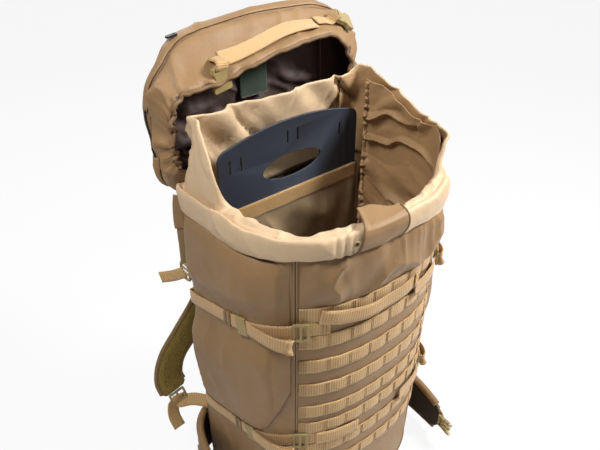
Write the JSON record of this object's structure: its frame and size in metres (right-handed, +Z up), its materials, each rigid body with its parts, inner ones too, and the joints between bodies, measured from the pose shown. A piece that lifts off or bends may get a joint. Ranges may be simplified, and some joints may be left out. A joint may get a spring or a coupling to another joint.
{
  "type": "hunting backpack",
  "caption": "Large upright hunting backpack with webbing rows on the front, side pockets, a flipped-back lid, an open roll collar and a slide-in frame sheet.",
  "frame": {"origin": "under the middle of the flat base, on the floor", "axes": "+Z up, -Y towards the front with the webbing rows, +X towards the side on the right seen from the front"},
  "size_m": [0.5012, 0.4178, 0.854],
  "materials": {
    "body_cloth": "woven nylon, slight sheen",
    "collar_cloth": "thin coated nylon, creased, satin sheen",
    "brown_cloth": "coated nylon",
    "liner_cloth": "coated nylon, slight sheen",
    "webbing": "coarse woven webbing",
    "tan_plastic": "moulded, satin",
    "black_plastic": "moulded sheet, satin",
    "pale_loop": "loop pile",
    "dark_loop": "loop pile",
    "spacer_mesh": "open spacer mesh over foam"
  },
  "bodies": {
    "pack": {"front_panel": "body_cloth", "left_side_panel": "body_cloth", "right_side_panel": "body_cloth", "back_panel": "body_cloth", "base_panel": "body_cloth", "webbing_row_1": "webbing", "webbing_row_2": "webbing", "webbing_row_3": "webbing", "webbing_row_4": "webbing", "webbing_row_5": "webbing", "webbing_row_6": "webbing", "webbing_row_7": "webbing", "webbing_row_8": "webbing", "left_side_pocket": "body_cloth", "right_side_pocket": "body_cloth", "upper_left_strap": "webbing", "upper_right_strap": "webbing", "lower_left_strap": "webbing", "lower_right_strap": "webbing", "collar": "collar_cloth", "storm_tab": "brown_cloth", "sheet_sleeve": "brown_cloth", "sleeve_strip": "dark_loop", "lid_hinge_tape": "webbing", "back_pad_left": "spacer_mesh", "back_pad_right": "spacer_mesh", "lumbar_pad": "spacer_mesh", "yoke_pad": "body_cloth", "shoulder_webbing_left": "webbing", "shoulder_webbing_right": "webbing", "load_lifter_left": "webbing", "load_lifter_right": "webbing", "grab_handle": "webbing"},
    "lid": {"lid_skirt": "body_cloth", "lid_cover": "body_cloth", "lid_liner": "liner_cloth", "lid_loop_strip": "pale_loop"},
    "lid_buckle_left": {"lid_buckle_left": "tan_plastic"},
    "lid_buckle_right": {"lid_buckle_right": "tan_plastic"},
    "lid_zip_left": {"lid_zip_left": "black_plastic"},
    "lid_zip_right": {"lid_zip_right": "black_plastic"},
    "frame_sheet": {"frame_sheet": "black_plastic"},
    "shoulder_left": {"shoulder_strap_left": "spacer_mesh", "strap_lock_left": "tan_plastic"},
    "sternum_left": {"sternum_half_left": "webbing"},
    "hip_wing_left": {"hip_wing_left": "spacer_mesh"},
    "hip_buckle_left": {"hip_buckle_left": "tan_plastic"},
    "upper_left_slider": {"upper_left_slider": "tan_plastic"},
    "upper_left_buckle": {"upper_left_buckle": "tan_plastic"},
    "lower_left_slider": {"lower_left_slider": "tan_plastic"},
    "lower_left_buckle": {"lower_left_buckle": "tan_plastic"},
    "shoulder_right": {"shoulder_strap_right": "spacer_mesh", "strap_lock_right": "tan_plastic"},
    "sternum_right": {"sternum_half_right": "webbing"},
    "hip_wing_right": {"hip_wing_right": "spacer_mesh"},
    "hip_buckle_right": {"hip_buckle_right": "tan_plastic"},
    "upper_right_slider": {"upper_right_slider": "tan_plastic"},
    "upper_right_buckle": {"upper_right_buckle": "tan_plastic"},
    "lower_right_slider": {"lower_right_slider": "tan_plastic"},
    "lower_right_buckle": {"lower_right_buckle": "tan_plastic"}
  },
  "joints": [
    {"name": "lid_hinge", "type": "hinge", "parent": "pack", "child": "lid", "pos_m": [0, 0.12, 0.648], "axis": [-1, 0, 0], "range_deg": [-90, 0], "deforming": ["collar"]},
    {"name": "lid_buckle_left_swing", "type": "hinge", "parent": "lid", "child": "lid_buckle_left", "pos_m": [-0.08916, 0.1548, 0.8039], "axis": [-0.9866, 0, -0.163], "range_deg": [-25, 70]},
    {"name": "lid_buckle_right_swing", "type": "hinge", "parent": "lid", "child": "lid_buckle_right", "pos_m": [0.17414, 0.1732, 0.83656], "axis": [-0.3331, -0.7907, -0.5136], "range_deg": [0, 70]},
    {"name": "lid_zip_left_slide", "type": "hinge", "parent": "lid", "child": "lid_zip_left", "pos_m": [0.008, 0.22, -0.25768], "axis": [0, 1, 0], "range_deg": [0, 6]},
    {"name": "lid_zip_right_slide", "type": "hinge", "parent": "lid", "child": "lid_zip_right", "pos_m": [0.008, 0.22, -0.25768], "axis": [0, -1, 0], "range_deg": [0, 6]},
    {"name": "frame_sheet_slide", "type": "slide", "parent": "pack", "child": "frame_sheet", "axis": [0, 0, 1], "range_m": [-0.06, 0.5]},
    {"name": "shoulder_left_swing", "type": "hinge", "parent": "pack", "child": "shoulder_left", "pos_m": [-0.06, 0.157, 0.5455], "axis": [1, 0, 0], "range_deg": [0, 30], "deforming": ["shoulder_webbing_left", "load_lifter_left"]},
    {"name": "sternum_left_slide", "type": "slide", "parent": "shoulder_left", "child": "sternum_left", "axis": [-0.5664, 0.1343, -0.8131], "range_m": [-0.03, 0.03]},
    {"name": "shoulder_right_swing", "type": "hinge", "parent": "pack", "child": "shoulder_right", "pos_m": [0.06, 0.157, 0.5455], "axis": [1, 0, 0], "range_deg": [0, 30], "deforming": ["shoulder_webbing_right", "load_lifter_right"]},
    {"name": "sternum_right_slide", "type": "slide", "parent": "shoulder_right", "child": "sternum_right", "axis": [0.5664, 0.1343, -0.8131], "range_m": [-0.03, 0.03]},
    {"name": "hip_wing_left_swing", "type": "hinge", "parent": "pack", "child": "hip_wing_left", "pos_m": [-0.118, 0.1468, 0.078], "axis": [0, 0, -1], "range_deg": [0, 70]},
    {"name": "hip_buckle_left_slide", "type": "slide", "parent": "hip_wing_left", "child": "hip_buckle_left", "axis": [0.1767, -0.9843, 0], "range_m": [0, 0.05]},
    {"name": "hip_wing_right_swing", "type": "hinge", "parent": "pack", "child": "hip_wing_right", "pos_m": [0.118, 0.1468, 0.078], "axis": [0, 0, 1], "range_deg": [0, 70]},
    {"name": "hip_buckle_right_slide", "type": "slide", "parent": "hip_wing_right", "child": "hip_buckle_right", "axis": [-0.1767, -0.9843, 0], "range_m": [0, 0.05]},
    {"name": "upper_left_slider_slide", "type": "slide", "parent": "pack", "child": "upper_left_slider", "axis": [0.0925, -0.9699, 0.2251], "range_m": [-0.012, 0.012]},
    {"name": "upper_left_buckle_tilt", "type": "hinge", "parent": "pack", "child": "upper_left_buckle", "pos_m": [-0.14357, -0.11593, 0.4945], "axis": [0, 0, 1], "range_deg": [0, 35]},
    {"name": "upper_right_slider_slide", "type": "slide", "parent": "pack", "child": "upper_right_slider", "axis": [-0.0925, -0.9699, 0.2251], "range_m": [-0.012, 0.012]},
    {"name": "upper_right_buckle_tilt", "type": "hinge", "parent": "pack", "child": "upper_right_buckle", "pos_m": [0.14357, -0.11593, 0.4945], "axis": [0, 0, -1], "range_deg": [0, 35]},
    {"name": "lower_left_slider_slide", "type": "slide", "parent": "pack", "child": "lower_left_slider", "axis": [0.0938, -0.9607, 0.2614], "range_m": [-0.012, 0.012]},
    {"name": "lower_left_buckle_tilt", "type": "hinge", "parent": "pack", "child": "lower_left_buckle", "pos_m": [-0.13882, -0.10885, 0.2535], "axis": [0, 0, 1], "range_deg": [0, 35]},
    {"name": "lower_right_slider_slide", "type": "slide", "parent": "pack", "child": "lower_right_slider", "axis": [-0.0938, -0.9607, 0.2614], "range_m": [-0.012, 0.012]},
    {"name": "lower_right_buckle_tilt", "type": "hinge", "parent": "pack", "child": "lower_right_buckle", "pos_m": [0.13882, -0.10885, 0.2535], "axis": [0, 0, -1], "range_deg": [0, 35]}
  ]
}
